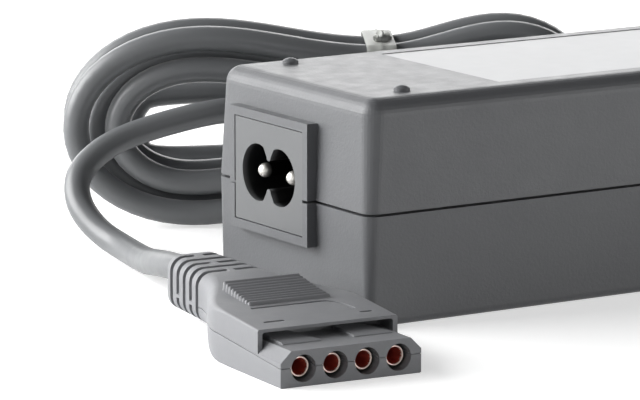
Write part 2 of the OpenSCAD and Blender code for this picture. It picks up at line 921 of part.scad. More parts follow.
// Holes for the contacts, with a closer seat at their back ends
module contact_holes() {
    at_contacts() {
        translate([0, 0, -over])
            cylinder(seat_y + over, d = hole_d);
        cylinder(sleeve_recess + sleeve_l + 0.05, d = sleeve_d + 0.1);
    }
}

module plug_lower_half() {
    color(shell_c)
        at_plug()
            difference() {
                intersection() {
                    linear_extrude(nose_h * 2)
                        body_plan();
                    side_cut(concat([[0, 0]], [for (y = flare_y) [y, body_low(y)]],
                        [[neck_y, seam_z(neck_y)], [body_y, seam_body], [0, seam_nose]]));
                }
                contact_holes();
            }
}

slot_y = 4;
slot_side = 0.8;
key_w = 6.6;
key_x = 6.1;
key_y = 4.3;
key_h = 0.6;
grip_w = 14.4;
grip_y = 19.6;
grip_l = 10;
grip_ribs = 10;
grip_front_h = 0.5;
grip_back_h = 1.5;
grip_rib_h = 0.35;
line_y = 18.5;
line_w = 15;

// The upper side outline of the ribbed grip
function grip_z(s) = body_top(grip_y + s) + grip_front_h + (grip_back_h - grip_front_h) * s / grip_l;
grip_pitch = grip_l / grip_ribs;

module grip() {
    translate([-grip_w / 2, 0, 0])
        rotate([90, 0, 90])
            linear_extrude(grip_w)
                polygon(concat([[grip_y, seam_body + 1]],
                    [for (i = [0 : grip_ribs - 1]) each [
                        [grip_y + i * grip_pitch, grip_z(i * grip_pitch) - grip_rib_h],
                        [grip_y + (i + 0.35) * grip_pitch, grip_z((i + 0.35) * grip_pitch)],
                        [grip_y + (i + 0.65) * grip_pitch, grip_z((i + 0.65) * grip_pitch)]]],
                    [[grip_y + grip_l, grip_z(grip_l) - grip_rib_h], [grip_y + grip_l, seam_body + 1]]));
}

module plug_upper_half() {
    color(shell_c)
        at_plug()
            difference() {
                union() {
                    intersection() {
                        linear_extrude(nose_h * 3)
                            body_plan();
                        side_cut(concat([[lip_y, seam_z(lip_y)], [body_y, seam_body], [neck_y, seam_z(neck_y)]],
                            [for (i = [flare_n : -1 : 0]) [flare_y[i], body_top(flare_y[i])]],
                            [[lip_y, lip_h]]));
                    }
                    intersection() {
                        translate([0, lip_y + slot_y + over, 0])
                            rotate([90, 0, 0])
                                linear_extrude(lip_y + slot_y + over)
                                    nose_front();
                        side_cut([[0, seam_nose], [body_y, seam_body], [body_y, nose_h], [0, nose_h]]);
                    }
                    grip();
                }
                difference() {
                    translate([-plug_w / 2 + slot_side, lip_y - over, seam_body])
                        cube([plug_w - 2 * slot_side, slot_y + over, lip_h - lip_t - seam_body]);
                    translate([0, body_y, 0])
                        rotate([90, 0, 0])
                            linear_extrude(body_y)
                                nose_front();
                    for (s = [-1, 1])
                        translate([s * key_x - key_w / 2, 0, 0])
                            cube([key_w, body_y, nose_h + key_h]);
                }
                translate([-line_w / 2, line_y, body_top(line_y) - 0.25])
                    cube([line_w, 0.35, 1]);
                contact_holes();
            }
        at_plug()
            color(shell_c)
                for (s = [-1, 1])
                    translate([s * key_x - key_w / 2, key_y, nose_h - eps])
                        cube([key_w, lip_y - key_y + eps, key_h + eps]);
}

module plug_contacts() {
    color("#c9a24a")
        at_plug()
            translate([0, sleeve_recess, 0])
                at_contacts()
                    difference() {
                        cylinder(sleeve_l, d = sleeve_d);
                        translate([0, 0, -over])
                            cylinder(bore_depth + over, d = sleeve_bore);
                    }
}

relief_ribs = 5;
relief_groove = 1.1;
relief_depth = 1;
relief_pitch = relief_l / relief_ribs;
relief_end_w = 9.4;
relief_end_h = 8.6;
relief_end_mid = 6.1;
relief_r = 2.3;
bridge_w = 1.8;

// The tapered strain relief, drawn in by s all round
module relief_form(s) {
    hull() {
        translate([0, neck_y, (neck_top + neck_low) / 2])
            rotate([-90, 0, 0])
                linear_extrude(eps)
                    round_rect(neck_w - 2 * s, neck_top - neck_low - 2 * s, relief_r, $fn = 16);
        translate([0, neck_y + relief_l - eps, relief_end_mid])
            rotate([-90, 0, 0])
                linear_extrude(eps)
                    round_rect(relief_end_w - 2 * s, relief_end_h - 2 * s, relief_r, $fn = 16);
    }
}

// Ribs behind each groove, which is bridged above and below, or at both sides, by turns
module relief_ribs_and_bridges() {
    for (i = [0 : relief_ribs - 1]) {
        translate([-plug_w / 2, neck_y + i * relief_pitch + relief_groove, 0])
            cube([plug_w, relief_pitch - relief_groove, neck_top * 2]);
        translate(i % 2 == 0 ? [-bridge_w / 2, neck_y + i * relief_pitch, 0] :
            [-plug_w / 2, neck_y + i * relief_pitch, relief_end_mid - bridge_w / 2])
            cube(i % 2 == 0 ? [bridge_w, relief_pitch, neck_top * 2] : [plug_w, relief_pitch, bridge_w]);
    }
}

module plug_strain_relief() {
    color(shell_c)
        at_plug() {
            relief_form(relief_depth);
            intersection() {
                relief_form(0);
                relief_ribs_and_bridges();
            }
        }
}

top_shell();
bottom_shell();
corner_feet();
rating_label();
inlet_body();
inlet_pins();
inlet_wires();
circuit_board();
board_screws();
insulation_sheet();
mains_fuse();
filter_capacitor();
choke_core();
choke_winding();
bridge_rectifier();
bulk_capacitor();
primary_heat_sink();
switching_transistor();
transformer_core();
transformer_winding();
secondary_heat_sink();
output_rectifier();
output_capacitors();
output_choke();
feedback_coupler();
output_wires();
cord_gland();
cord_lead();
cord_hank();
cord_tail();
cord_tie();
plug_strain_relief();
plug_lower_half();
plug_upper_half();
plug_contacts();
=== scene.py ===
# %% [markdown]
# # A laptop power adapter, dressed for a studio picture
# The adapter is a grained plastic case with a figure-eight mains inlet at one end and a thin cord at the
# other. The cord is folded into a tied hank behind the case and comes round to a flat four-contact plug.
# The hard parts arrive as an exact model with real sizes. This lesson gives them materials, models the
# pieces whose softness or fine moulding needs a mesh, and lights them as on a studio table.

# %% The frame
import math

import bmesh
import bpy
from mathutils import Matrix, Vector


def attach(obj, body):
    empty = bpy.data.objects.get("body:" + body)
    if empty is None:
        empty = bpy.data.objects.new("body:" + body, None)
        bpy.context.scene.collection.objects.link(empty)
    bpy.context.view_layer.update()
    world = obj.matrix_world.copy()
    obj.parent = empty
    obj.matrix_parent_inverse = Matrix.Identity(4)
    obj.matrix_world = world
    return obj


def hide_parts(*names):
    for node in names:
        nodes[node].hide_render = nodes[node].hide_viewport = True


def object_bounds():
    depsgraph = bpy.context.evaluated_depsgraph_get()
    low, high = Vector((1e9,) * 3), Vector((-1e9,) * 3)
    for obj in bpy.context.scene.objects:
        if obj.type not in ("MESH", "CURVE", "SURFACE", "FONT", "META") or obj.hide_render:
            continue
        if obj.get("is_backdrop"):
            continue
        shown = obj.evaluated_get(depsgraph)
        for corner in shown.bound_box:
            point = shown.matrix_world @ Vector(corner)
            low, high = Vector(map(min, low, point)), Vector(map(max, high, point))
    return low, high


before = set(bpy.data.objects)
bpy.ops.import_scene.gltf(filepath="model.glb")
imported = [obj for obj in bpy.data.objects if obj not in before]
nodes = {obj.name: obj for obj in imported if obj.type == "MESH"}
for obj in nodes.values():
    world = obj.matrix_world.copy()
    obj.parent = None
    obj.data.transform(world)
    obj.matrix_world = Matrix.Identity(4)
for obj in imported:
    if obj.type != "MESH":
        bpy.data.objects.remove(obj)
cad_low, cad_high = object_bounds()
MM = 0.001
box = (cad_high - cad_low) / MM
print(f"{len(nodes)} parts, {box.x:.1f} x {box.y:.1f} mm on the table, {box.z:.1f} mm high")

# %% [markdown]
# ## The camera
# A long lens from a little above the table keeps the edges of the case nearly parallel and makes the
# small plug look close. The camera stands in front of the inlet's end and looks along the case.

# %% Camera
camera_data = bpy.data.cameras.new("studio_camera")
camera_data.lens = 262.8
camera_data.sensor_width = 36
camera_data.clip_start = 0.05
camera_data.clip_end = 30
camera = bpy.data.objects.new("studio_camera", camera_data)
bpy.context.scene.collection.objects.link(camera)
bpy.context.scene.camera = camera
tilt = math.radians(10.55)
sight = Vector((0.536, 0.844, 0)).normalized() * math.cos(tilt) - Vector((0, 0, math.sin(tilt)))
camera.location = (-0.4512, -0.6265, 0.155)
camera.rotation_euler = sight.to_track_quat("-Z", "Y").to_euler()
bpy.context.scene.view_settings.view_transform = "Standard"
print(f"camera {camera.location.length:.2f} m from the origin, {camera_data.lens:.0f} mm lens")

# %% [markdown]
# ## The cord's route
# A cord is one length of something flexible, so it is one line from the gland to the plug. It leaves the
# gland, lies on the table, makes a loose loop behind the hank, winds through the hank in four layers
# and comes out over the front towards the plug. Each part of the way is a formula or a few chosen points,
# and a smooth curve through the points gives the line.

# %% Route helpers
CORD_D = 4.5
CORD_R = CORD_D / 2


def smooth(points, steps):
    """Catmull-Rom points along a route that is straight in its first and its last stretch."""
    line = [points[0]]
    for a, b, c, d in zip(points, points[1:], points[2:], points[3:]):
        for k in range(steps):
            s = k / steps
            line.append(0.5 * (2 * b + (c - a) * s + (2 * a - 5 * b + 4 * c - d) * s * s
                               + (3 * b - a - 3 * c + d) * s ** 3))
    return line + points[-2:]


def ease(s):
    """Rises from 0 to 1 with a soft start and a soft end."""
    s = min(max(s, 0), 1)
    return s * s * (3 - 2 * s)


def stations(first, last, count):
    """Evenly spaced values, both ends included."""
    return [first + (last - first) * i / count for i in range(count + 1)]


def length_of(line):
    """The length of a line through points."""
    return sum((b - a).length for a, b in zip(line, line[1:]))


# %% The hank, by places along its loops: 24 to a turn
PLACES = 24
HANK_RUN, HANK_R, FOLD_STRETCH = 55.7, 17, 1.35
TURN_STEP, LAYER_STEP, WAIST_DIP, WAIST_U = 5.5, 4.95, 4.8, 4.85
HALF_RUN = HANK_RUN / 2
HANK_X, HANK_Y = -13.2, 52.3
HANK_TURN = math.radians(-30)
# Each layer ends at one of these places, and the cord moves on to the next layer
LAYER_ENDS = (54, 90, 126)
# The cord goes in low at the near bend, and comes out of a top run under the tie
HANK_START = 45
HANK_STOP = 171 + 6 * (HALF_RUN - WAIST_U) / HANK_RUN
along = Vector((math.cos(HANK_TURN), math.sin(HANK_TURN), 0))
across = Vector((-math.sin(HANK_TURN), math.cos(HANK_TURN), 0))


def spiral(q):
    """Radius of the loops: they grow to the end of one layer, then shrink over the next."""
    widest = LAYER_ENDS[0] if q < LAYER_ENDS[1] else LAYER_ENDS[2]
    return HANK_R - TURN_STEP / PLACES * abs(q - widest)


def waist(u):
    """How far the tie draws the loops in, for a place along the hank."""
    s = (u - WAIST_U) / (HALF_RUN - WAIST_U) if u > WAIST_U else (WAIST_U - u) / (HALF_RUN + WAIST_U)
    return WAIST_DIP * (1 + math.cos(math.pi * s)) / 2 if s < 1 else 0


HANK_Z = spiral(HANK_START) + CORD_R + 0.05


def hank_point(q):
    """The cord's place in the hank: near bend to 3, top run to 9, far bend to 15, bottom run to 21."""
    m, r = q % PLACES, spiral(q)
    turn = math.radians(30 * m)
    if m < 3:
        u, v = HALF_RUN + r * math.cos(turn), r * math.sin(turn)
    elif m < 9:
        u = HALF_RUN - HANK_RUN * (m - 3) / 6
        v = r - waist(u)
    elif m < 15:
        turn = math.radians(90 + 30 * (m - 9))
        u, v = -HALF_RUN + FOLD_STRETCH * r * math.cos(turn), r * math.sin(turn)
    elif m < 21:
        u = -HALF_RUN + HANK_RUN * (m - 15) / 6
        v = waist(u) - r
    else:
        turn = math.radians(270 + 30 * (m - 21))
        u, v = HALF_RUN + r * math.cos(turn), r * math.sin(turn)
    layer = sum(ease((q - end + 3) / 6) for end in LAYER_ENDS)
    return Vector((HANK_X, HANK_Y, HANK_Z + v)) + u * along + (3 - layer) * LAYER_STEP * across


FINE = 0.25
count = round((HANK_STOP - HANK_START) / FINE)
hank = [hank_point(q) for q in stations(HANK_START, HANK_STOP, count)]
hank_in, hank_out = hank[0] - CORD_D * along, hank[-1] - CORD_D * along
print(f"hank: {length_of(hank):.0f} mm of cord in {(HANK_STOP - HANK_START) / PLACES:.1f} turns")

# %% The lead from the gland, and the tail to the plug
PLUG_PLACE = Matrix.Translation((-80.5, -51.6, 0)) @ Matrix.Rotation(math.radians(-4.3), 4, "Z")
GLAND_END = Vector((79, 0, 18))
RELIEF_END = PLUG_PLACE @ Vector((0, 53, 7))
plug_back = PLUG_PLACE.to_3x3() @ Vector((0, 1, 0))

lead_points = [(92, 1, 13), (99, 4, 7), (106, 10, 3), (110, 19, 2.5), (108, 28, 2.5), (100, 35.5, 2.5),
               (84, 41.5, 2.5), (64, 49, 2.5), (45, 57, 3.5), (29, 59, 7.5), (14.5, 62, 15),
               (0.5, 68.5, 20), (-13.5, 76, 21), (-31.5, 87, 20.5), (-35.5, 89, 18.5),
               (-37, 89.5, 14.5), (-35.5, 89, 10.5), (-31.5, 87, 8.5), (-14, 76.5, 9), (-5.5, 72, 6),
               (1.5, 67.5, 3), (4.5, 63.5, 2.5), (7.5, 59, 2.5)]
tail_points = [(-21.5, 54.8, 20), (-28.5, 55.8, 21.5), (-37, 57, 22), (-45.5, 59.5, 20.5),
               (-53, 61.5, 18.5), (-58, 62, 16.5), (-62, 61.5, 14), (-64.5, 60, 11.5),
               (-65.5, 57.5, 8.5), (-65.5, 54, 6), (-65, 49.5, 4), (-65, 43.5, 3), (-67, 34.5, 3),
               (-70, 26, 4), (-73, 18, 5.5), (-75, 11, 6.5)]
lead = smooth([GLAND_END, GLAND_END + Vector((CORD_D, 0, 0))] + [Vector(p) for p in lead_points]
              + [hank_in - CORD_D * along, hank_in], 6)
tail = smooth([hank_out, hank_out - CORD_D * along] + [Vector(p) for p in tail_points]
              + [RELIEF_END + CORD_D * plug_back, RELIEF_END], 6)
route = lead + hank + tail
for part, line in (("lead", lead), ("tail", tail), ("whole cord", route)):
    print(f"{part}: {length_of(line):.0f} mm")

# %% [markdown]
# ## The cord
# A curve with a round bevel keeps the same thickness all along. A few rounds of averaging take out the
# small corners where the parts of the route meet, as the stiffness of the real jacket does. The curve is
# then turned into a mesh, so that its size is that of the cord's skin.

# %% Cord mesh
for _ in range(4):
    averaged = [(a + 2 * b + c) / 4 for a, b, c in zip(route, route[1:], route[2:])]
    route = [route[0]] + averaged + [route[-1]]
cord_curve = bpy.data.curves.new("cord", "CURVE")
cord_curve.dimensions = "3D"
cord_curve.bevel_depth = CORD_R * MM
cord_curve.bevel_resolution = 4
cord_curve.use_fill_caps = True
spline = cord_curve.splines.new("POLY")
spline.points.add(len(route) - 1)
for point, place in zip(spline.points, route):
    point.co = (*(place * MM), 1)
spline.use_smooth = True
swept = bpy.data.objects.new("swept_cord", cord_curve)
bpy.context.scene.collection.objects.link(swept)
cord = bpy.data.objects.new("cord", bpy.data.meshes.new_from_object(swept))
bpy.data.objects.remove(swept)
bpy.context.scene.collection.objects.link(cord)
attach(cord, "root")
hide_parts("cord_lead", "cord_hank", "cord_tail")
print(f"cord: {len(route)} points, {length_of(route) / 1000:.3f} m")

# %% [markdown]
# ## Materials
# Every finish is built from shader nodes. Colours are written as hex values, patterns take their scale
# from real sizes, and the coordinates are the part's own metres, so a grain of half a millimetre has a
# noise scale of 2000.

# %% Material helpers
def linear(hex_colour):
    """The linear colour of an sRGB hex value."""
    parts = [int(hex_colour[i:i + 2], 16) / 255 for i in (1, 3, 5)]
    return (*[c / 12.92 if c <= 0.04045 else ((c + 0.055) / 1.055) ** 2.4 for c in parts], 1)


def add(tree, kind, inputs={}, **settings):
    """Adds a node: settings are its own choices, inputs are values or sockets to link."""
    node = tree.nodes.new("ShaderNode" + kind)
    for name, value in settings.items():
        setattr(node, name, value)
    for name, value in inputs.items():
        if isinstance(value, bpy.types.NodeSocket):
            tree.links.new(value, node.inputs[name])
        else:
            node.inputs[name].default_value = value
    return node


def start(name, **surface):
    """A new material with its Principled shader and the part's own coordinates."""
    material = bpy.data.materials.new(name)
    material.use_nodes = True
    tree = material.node_tree
    shader = tree.nodes["Principled BSDF"]
    for socket, value in surface.items():
        shader.inputs[socket].default_value = value
    place = add(tree, "TexCoord").outputs["Object"]
    return material, tree, shader, place


def tones(tree, place, dark, light, patch_mm):
    """Colour that drifts between two close tones, in patches of a real size."""
    drift = add(tree, "TexNoise", {"Vector": place, "Scale": 1000 / patch_mm, "Detail": 3.0}).outputs["Fac"]
    # 6 and 7 are the node's two colour inputs, and 2 is its colour output
    return add(tree, "Mix", {"Factor": drift, 6: linear(dark), 7: linear(light)}, data_type="RGBA").outputs[2]


def spread(tree, place, patch_mm, low, high):
    """A number that drifts between low and high, in patches of a real size."""
    drift = add(tree, "TexNoise", {"Vector": place, "Scale": 1000 / patch_mm, "Detail": 4.0}).outputs["Fac"]
    return add(tree, "MapRange", {"Value": drift, "From Min": 0.3, "From Max": 0.7, "To Min": low,
                                  "To Max": high}).outputs["Result"]


# %% [markdown]
# ## Moulded plastic
# The case is ABS from a spark-eroded tool. The sparks leave pits about half a millimetre wide in
# the steel, and the plastic copies them as a fine pebble grain that breaks up the gloss. The plug and
# the cord's ends are soft PVC with a finer, duller skin. One function makes them all, because they
# differ only in tone, gloss and grain.

# %% Moulded plastic
def moulded(name, dark, light, gloss, grain_mm, relief_mm):
    """A moulded or coated skin: two close tones, a range of roughness, and a grain with its depth."""
    material, tree, shader, place = start(name, IOR=1.53)
    tree.links.new(tones(tree, place, dark, light, 14), shader.inputs["Base Color"])
    tree.links.new(spread(tree, place, 3, *gloss), shader.inputs["Roughness"])
    pits = add(tree, "TexVoronoi", {"Vector": place, "Scale": 1000 / grain_mm}, feature="SMOOTH_F1")
    fine = add(tree, "TexNoise", {"Vector": place, "Scale": 2200 / grain_mm, "Detail": 2.0})
    height = add(tree, "Math", {0: pits.outputs["Distance"], 1: fine.outputs["Fac"]}, operation="ADD")
    bump = add(tree, "Bump", {"Height": height.outputs[0], "Distance": relief_mm * MM, "Strength": 1.0})
    tree.links.new(bump.outputs["Normal"], shader.inputs["Normal"])
    return material


case_abs = moulded("spark_grained_abs", "#5e5f62", "#636567", (0.42, 0.5), 0.5, 0.022)
plug_pvc = moulded("overmoulded_pvc", "#818285", "#898a8d", (0.5, 0.58), 0.3, 0.012)
inlet_pbt = moulded("satin_pbt", "#636566", "#6a6b6d", (0.36, 0.42), 0.6, 0.006)
gland_pvc = moulded("soft_pvc_boot", "#7a7b7e", "#828486", (0.46, 0.56), 0.35, 0.014)
jacket_pvc = moulded("pvc_cord_jacket", "#6f7173", "#77797b", (0.34, 0.42), 0.5, 0.008)

# %% [markdown]
# ## Metals
# The inlet's pins are brass under bright nickel, and the plug's sleeves are copper alloy under thin gold.
# A plated surface shows its tool marks as faint streaks in the gloss.

# %% Metals
def plated(name, dark, light, gloss, streak_mm=0.4):
    """A metal: two close tones, a range of roughness, and the size of its tool marks."""
    material, tree, shader, place = start(name, Metallic=1.0)
    tree.links.new(tones(tree, place, dark, light, 2), shader.inputs["Base Color"])
    tree.links.new(spread(tree, place, streak_mm, *gloss), shader.inputs["Roughness"])
    return material


nickel = plated("bright_nickel_plate", "#dcd9d3", "#e8e6e1", (0.42, 0.5), 1.2)
steel = plated("zinc_plated_steel", "#9a9c9c", "#b4b6b6", (0.3, 0.45))
gold = plated("gold_flash", "#f0dacd", "#f6e4da", (0.4, 0.46), 1.5)
aluminium = plated("extruded_aluminium", "#b6b8ba", "#c9cbcd", (0.3, 0.42))
copper = plated("bare_copper_wire", "#a9643c", "#c27b4f", (0.25, 0.4))
# The bores are a red-brown copper alloy, and their tone is kept darker than their own colour as painted shade
# deep inside them
bore_red_painted_shade = moulded("red_copper_alloy_painted_shade", "#bb5747", "#cd6557", (0.35, 0.45), 0.8, 0.004)

# %% [markdown]
# ## Painted shade in the inlet's well
# Shade is painted into the inlet's well: its finish darkens to near black just behind the inlet's face. The
# pins carry painted shade too, staying bright at their tips and turning dull and dark further in.

# %% Painted shade in the inlet's well
INLET_FACE_X = -60.5


def paint_shade_inwards(material, near_mm, far_mm, tone):
    """Paints shade into a finish, fading it to another tone between two depths behind the inlet's face."""
    tree = material.node_tree
    colour = tree.nodes["Principled BSDF"].inputs["Base Color"]
    place = add(tree, "SeparateXYZ", {"Vector": add(tree, "TexCoord").outputs["Object"]})
    share = add(tree, "MapRange", {"Value": place.outputs["X"], "From Min": (INLET_FACE_X + near_mm) * MM,
                                   "From Max": (INLET_FACE_X + far_mm) * MM})
    shaded_colour = add(tree, "Mix", {"Factor": share.outputs["Result"], 6: colour.links[0].from_socket,
                              7: linear(tone)}, data_type="RGBA")
    tree.links.new(shaded_colour.outputs[2], colour)


# Painted shade: the well darkens from 0.15 mm to 1.2 mm behind the face, and the pins from 1.7 mm to 2.7 mm
paint_shade_inwards(inlet_pbt, 0.15, 1.2, "#0b0b0c")
paint_shade_inwards(nickel, 1.7, 2.7, "#1c1b1a")

# %% [markdown]
# ## Inside the case
# What is inside only shows when the case is opened, so its finishes stay simple, but each is still that
# of its own real material: glass-fibre board, sintered ferrite, shrink sleeves and polyester tape.

# %% Finishes inside the case
board_fr4 = moulded("solder_masked_fr4", "#2e5a36", "#3a6a40", (0.3, 0.4), 0.8, 0.01)
ferrite = moulded("sintered_ferrite", "#2c2e31", "#383a3d", (0.6, 0.75), 0.15, 0.02)
epoxy = moulded("black_moulding_epoxy", "#1f2022", "#292a2c", (0.45, 0.6), 0.2, 0.01)
fish_paper = moulded("insulating_sheet", "#8d8868", "#9a9576", (0.55, 0.7), 0.5, 0.006)
film_box = moulded("capacitor_box", "#b79c38", "#c6ab45", (0.3, 0.4), 0.6, 0.005)
can_sleeve = moulded("shrink_sleeve", "#29364a", "#324157", (0.25, 0.38), 0.9, 0.006)
glazed = moulded("glazed_ceramic", "#cdcbc0", "#d9d7cd", (0.12, 0.22), 1.2, 0.004)
winding_tape = moulded("polyester_winding_tape", "#b99636", "#cbaa4a", (0.28, 0.4), 0.7, 0.008)
mains_wire = moulded("mains_wire_insulation", "#4a3a2c", "#594837", (0.4, 0.5), 0.4, 0.006)
output_wire = moulded("output_wire_insulation", "#7c2622", "#8f302a", (0.4, 0.5), 0.4, 0.006)
label_film = moulded("matt_polyester_film", "#858689", "#88898c", (0.40, 0.42), 0.9, 0.002)
coated_tie = moulded("plastic_coated_tie", "#a0a19d", "#aeb0ac", (0.5, 0.6), 0.3, 0.01)
print(f"{len(bpy.data.materials)} materials")

# %% [markdown]
# ## Dressing the exact parts
# Pieces of the hard model whose form is already right keep their mesh. They get their finish, and
# shading that is smooth over curves and breaks at real edges.

# %% Which part has which finish
FINISHES = {
    "top_shell": case_abs, "bottom_shell": case_abs, "corner_feet": case_abs, "rating_label": label_film,
    "inlet_body": inlet_pbt, "inlet_pins": nickel, "inlet_wires": mains_wire, "circuit_board": board_fr4,
    "board_screws": steel, "insulation_sheet": fish_paper, "mains_fuse": glazed,
    "filter_capacitor": film_box, "choke_core": ferrite, "choke_winding": copper,
    "bridge_rectifier": epoxy, "bulk_capacitor": can_sleeve, "primary_heat_sink": aluminium,
    "switching_transistor": epoxy, "transformer_core": ferrite, "transformer_winding": winding_tape,
    "secondary_heat_sink": aluminium, "output_rectifier": epoxy, "output_capacitors": can_sleeve,
    "output_choke": copper, "feedback_coupler": epoxy, "output_wires": output_wire,
    "cord_gland": gland_pvc,
}


def dress(piece, material, smooth_up_to=32):
    """Gives a mesh its finish, and smooth shading up to an angle in degrees."""
    piece.data.materials.clear()
    piece.data.materials.append(material)
    if "custom_normal" in piece.data.attributes:
        piece.data.attributes.remove(piece.data.attributes["custom_normal"])
    piece.data.shade_smooth()
    piece.data.set_sharp_from_angle(angle=math.radians(smooth_up_to))


for name, material in FINISHES.items():
    dress(nodes[name], material)
dress(cord, jacket_pvc)
print(f"{len(FINISHES)} parts dressed")

# %% [markdown]
# ## Moulded pieces as lofts
# A moulded form that changes along its length is a loft: a closed section every so often, each with as
# many points as the last, skinned with quads and capped at both ends. A bevel then breaks the edges
# that the tool leaves, so that they catch a line of light.

# %% Loft helpers
def section(half_w, low, high, r_low, r_high, steps=6):
    """A closed outline in x and z, with one radius for its lower corners and one for its upper ones."""
    outline = []
    for side, top, first in ((1, False, -90), (1, True, 0), (-1, True, 90), (-1, False, 180)):
        r = r_high if top else r_low
        x, z = side * (half_w - r), high - r if top else low + r
        for k in range(steps + 1):
            turn = math.radians(first + 90 * k / steps)
            outline.append((x + r * math.cos(turn), z + r * math.sin(turn)))
    return outline


def skin(name, rings, finish=None, place=PLUG_PLACE, closed=False, smooth_up_to=32):
    """A closed mesh through rings of points, in millimetres in the frame called place.

    Without a finish it is only a tool for cut().
    """
    size = len(rings[0])
    bm = bmesh.new()
    verts = [[bm.verts.new(place @ Vector(p) * MM) for p in ring] for ring in rings]
    pairs = list(zip(verts, verts[1:]))
    if closed:
        pairs.append((verts[-1], verts[0]))
    for a, b in pairs:
        for k in range(size):
            bm.faces.new((a[k], a[(k + 1) % size], b[(k + 1) % size], b[k]))
    if not closed:
        bm.faces.new(verts[0])
        bm.faces.new(verts[-1])
    bmesh.ops.recalc_face_normals(bm, faces=bm.faces)
    mesh = bpy.data.meshes.new(name)
    bm.to_mesh(mesh)
    bm.free()
    piece = bpy.data.objects.new(name, mesh)
    bpy.context.scene.collection.objects.link(piece)
    if finish:
        dress(piece, finish, smooth_up_to)
        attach(piece, "root")
    return piece


def cut(piece, tool):
    """Cuts a closed tool out of a piece, then throws the tool away."""
    modifier = piece.modifiers.new("cut", "BOOLEAN")
    modifier.operation = "DIFFERENCE"
    modifier.solver = "EXACT"
    modifier.object = tool
    view = bpy.context.evaluated_depsgraph_get()
    view.update()
    mesh = bpy.data.meshes.new_from_object(piece.evaluated_get(view))
    piece.modifiers.clear()
    piece.data = mesh
    bpy.data.objects.remove(tool)


def soften(piece, width_mm, angle=35, segments=2):
    """Breaks the sharp edges of a piece."""
    bevel = piece.modifiers.new("broken_edges", "BEVEL")
    bevel.width = width_mm * MM
    bevel.segments = segments
    bevel.limit_method = "ANGLE"
    bevel.angle_limit = math.radians(angle)
    bevel.harden_normals = True


# %% [markdown]
# ## The plug
# The plug is moulded in two halves that meet at a seam, which slopes down to the nose. The upper half
# has a low nose, a hood that overhangs it with a slot beneath, two key pads and a ribbed grip. Its edges
# are crisp in front and grow rounder towards the neck.

# %% The plug's outline
PLUG_HALF_W, NECK_HALF_W = 12, 6.1
NOSE_H, NOSE_CUT, LIP_Y, LIP_H, LIP_T = 5.6, 1.8, 7.4, 7.6, 0.5
BODY_Y, BODY_H, NECK_Y, NECK_TOP, NECK_LOW = 21, 8.62, 39, 10, 1.9
SEAM_NOSE, SEAM_BODY, SEAM_GAP = 3, 4.6, 0.05
SLOT_Y, SLOT_SIDE, SLOT_R, EDGE_R = 4, 0.8, 0.4, 0.1
EDGE_FRONT, EDGE_GROWTH = 0.35, 1.95


def flare(y):
    """How far the plug has narrowed towards its neck, from 0 to 1."""
    return ease((y - BODY_Y) / (NECK_Y - BODY_Y))


def half_width(y):
    """Half the plug's width, which narrows to the neck."""
    return PLUG_HALF_W + (NECK_HALF_W - PLUG_HALF_W) * flare(y)


def body_top(y):
    """Height of the hood's top, which rises from the lip to the neck."""
    if y < BODY_Y:
        return LIP_H + (y - LIP_Y) * (BODY_H - LIP_H) / (BODY_Y - LIP_Y)
    return BODY_H + (NECK_TOP - BODY_H) * flare(y)


def seam_z(y):
    """Height of the seam, which slopes up from the nose and then runs level."""
    return min(SEAM_NOSE + (SEAM_BODY - SEAM_NOSE) * y / BODY_Y, SEAM_BODY)


def corner(y):
    """Radius of the body's long edges, which grows towards the neck."""
    return EDGE_FRONT + EDGE_GROWTH * ease((y - BODY_Y + 5) / (NECK_Y - BODY_Y))


def at(y, outline):
    """An outline in x and z, set at a place along the plug."""
    return [(x, y, z) for x, z in outline]


# %% Hood, base and nose
def strip(path, width):
    """A bar along a path over the hood, whose floor lies PRESSED below the hood's top, as rings."""
    rings = []
    high = body_top(path[-1][1]) - PRESSED + 2
    for i, (x, y) in enumerate(path):
        a, b = path[max(i - 1, 0)], path[min(i + 1, len(path) - 1)]
        way = Vector((b[0] - a[0], b[1] - a[1])).normalized() * width / 2
        low = body_top(y) - PRESSED
        rings.append([(x - way.y, y + way.x, low), (x + way.y, y - way.x, low),
                      (x + way.y, y - way.x, high), (x - way.y, y + way.x, high)])
    return rings


hood_y = stations(LIP_Y, BODY_Y, 8) + stations(BODY_Y, NECK_Y, 24)[1:]
rings = [at(y, section(half_width(y), seam_z(y) + SEAM_GAP, body_top(y), EDGE_R, corner(y))) for y in hood_y]
hood = skin("plug_hood", rings, plug_pvc)
slot_outline = section(PLUG_HALF_W - SLOT_SIDE, 1, LIP_H - LIP_T, EDGE_R, SLOT_R)
cut(hood, skin("slot_tool", [at(y, slot_outline) for y in (LIP_Y - 1, LIP_Y + SLOT_Y)]))

# The lines pressed into the hood: one that turns forward at its right end, and two dashes
LINE_Y, LINE_W, PRESSED = 18.3, 0.6, 0.5
TURN_AT, TURN_X, TURN_Y = 4.6, 2.9, 5.3
DASH_Y = 10.8
bend = [(TURN_AT + TURN_X * math.sin(t), LINE_Y - TURN_Y * (1 - math.cos(t)))
        for t in stations(0, math.pi / 2, 8)]
long_line = [(-7.5, LINE_Y), (0, LINE_Y), *bend]
left_dash, right_dash = [(-9.2, DASH_Y), (-5.7, DASH_Y)], [(7.3, DASH_Y), (9.4, DASH_Y)]
for path in (long_line, left_dash, right_dash):
    cut(hood, skin("line_tool", strip(path, LINE_W)))

base_y = stations(0, BODY_Y, 6) + stations(BODY_Y, NECK_Y, 24)[1:]
rings = [at(y, section(half_width(y), NECK_LOW * flare(y), seam_z(y) - SEAM_GAP, max(0.25, corner(y) - 0.2),
                       EDGE_R)) for y in base_y]
base = skin("plug_base", rings, plug_pvc)


